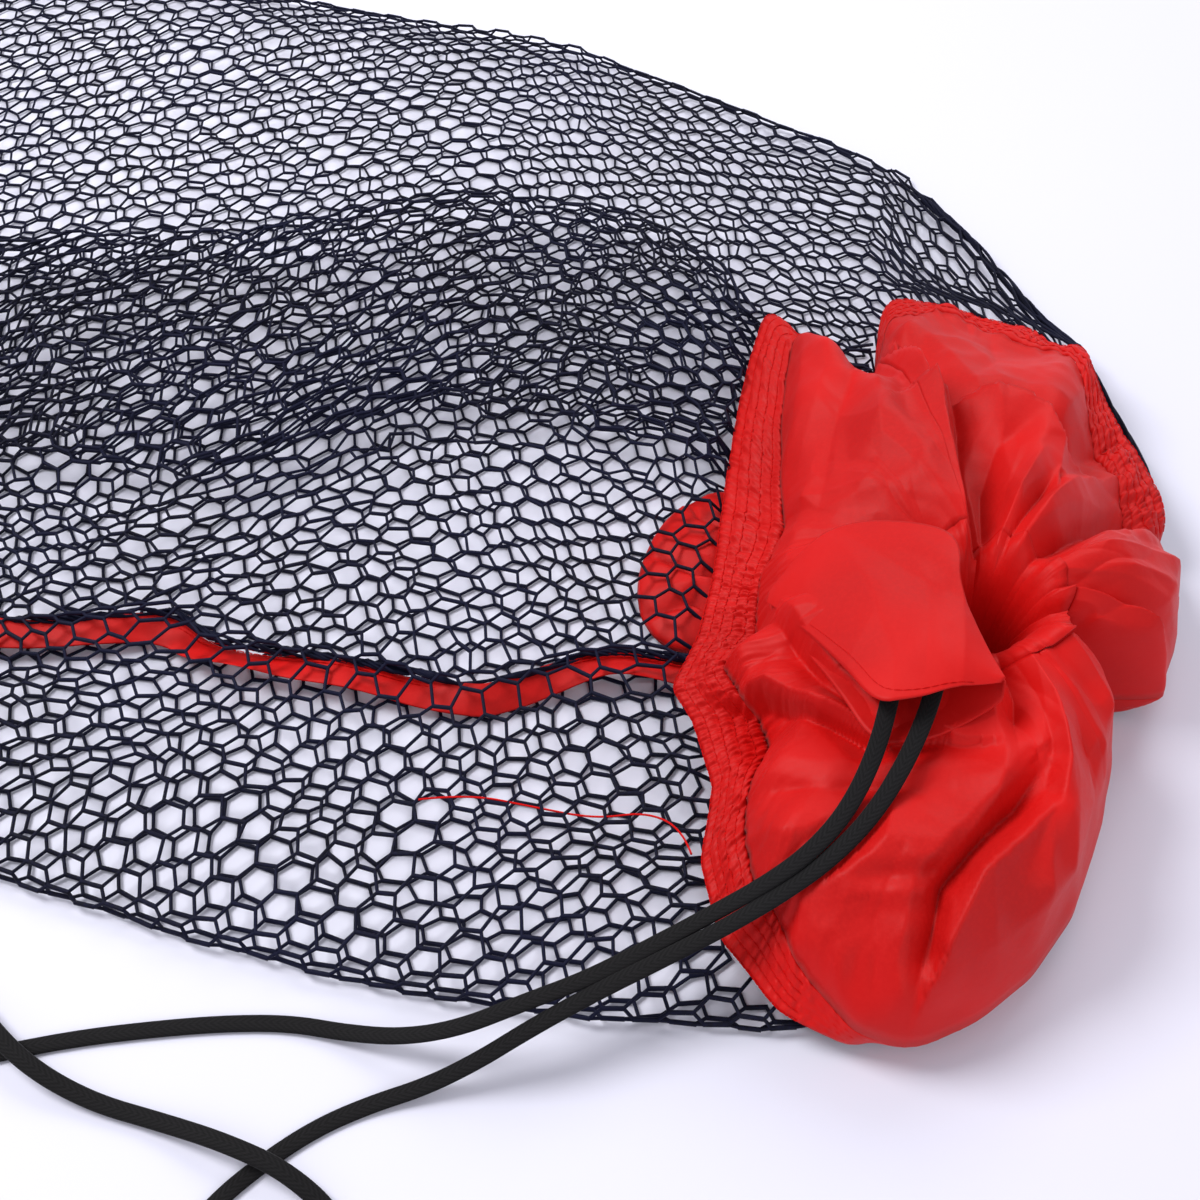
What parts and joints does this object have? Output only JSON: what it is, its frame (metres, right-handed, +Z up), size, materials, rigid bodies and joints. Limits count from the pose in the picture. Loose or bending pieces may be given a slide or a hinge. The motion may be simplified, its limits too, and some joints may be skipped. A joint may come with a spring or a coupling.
{
  "type": "drawstring net carry sack",
  "caption": "Drawstring net carry sack of a lawn-game set, lying flat: hexagonal netting with a gathered fabric collar, seam tape and a flat drawcord whose legs end in a knot.",
  "frame": {"origin": "middle of the sack's footprint on the ground, without its drawcord", "axes": "+X along the sack from its base to its collar, +Y across it, +Z up"},
  "size_m": [0.9, 0.7118, 0.0795],
  "materials": {
    "net": "matte",
    "red_fabric": "satin",
    "red_thread": "matte",
    "black_braid": "matte"
  },
  "bodies": {
    "sack": {"net_lower_layer": "net", "net_upper_layer": "net", "net_folded_pleat": "net", "side_seam_tape": "red_fabric", "side_seam_stitching": "red_thread", "base_seam_binding": "red_fabric", "base_seam_stitching": "red_thread", "joining_band": "red_fabric", "band_stitch_rows": "red_thread", "collar_near_panel": "red_fabric", "collar_far_panel": "red_fabric", "hem_channel": "red_fabric", "hem_cord_sleeve": "red_fabric", "drawcord_in_channel": "black_braid", "hem_stitch_row": "red_thread", "loose_seam_thread": "red_thread"},
    "drawcord": {"drawcord_leg_a": "black_braid", "drawcord_leg_b": "black_braid", "drawcord_tail_a": "black_braid", "drawcord_tail_b": "black_braid", "drawcord_knot": "black_braid"}
  },
  "joints": [
    {"name": "drawcord_pull", "type": "slide", "parent": "sack", "child": "drawcord", "axis": [0, -1, 0], "range_m": [0, 0.025]}
  ]
}
